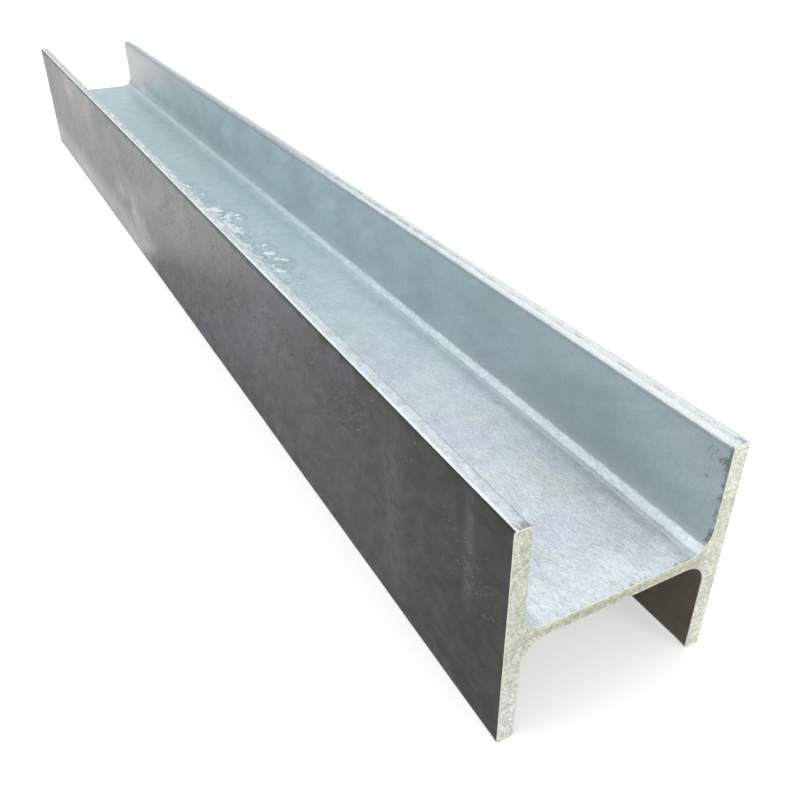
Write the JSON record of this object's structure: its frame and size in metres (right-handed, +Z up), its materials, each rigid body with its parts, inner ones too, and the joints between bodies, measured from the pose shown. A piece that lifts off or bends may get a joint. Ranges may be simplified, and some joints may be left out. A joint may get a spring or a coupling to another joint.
{
  "type": "steel h-post",
  "caption": "Straight galvanised steel H-section post with parallel flanges, a central web with rounded roots and square-sawn ends, lying on its flange toes.",
  "frame": {"origin": "middle of the footprint, on the floor that the flange toes rest on", "axes": "X along the post, Y across the section depth from flange to flange, +Z up along the flange width"},
  "size_m": [0.9, 0.097, 0.099],
  "materials": {
    "galvanised_steel": "hot-dip galvanised: pale frosted zinc, weathered to dark grey on the outer flange faces"
  },
  "bodies": {
    "root": {"h_post": "galvanised_steel"}
  },
  "joints": []
}
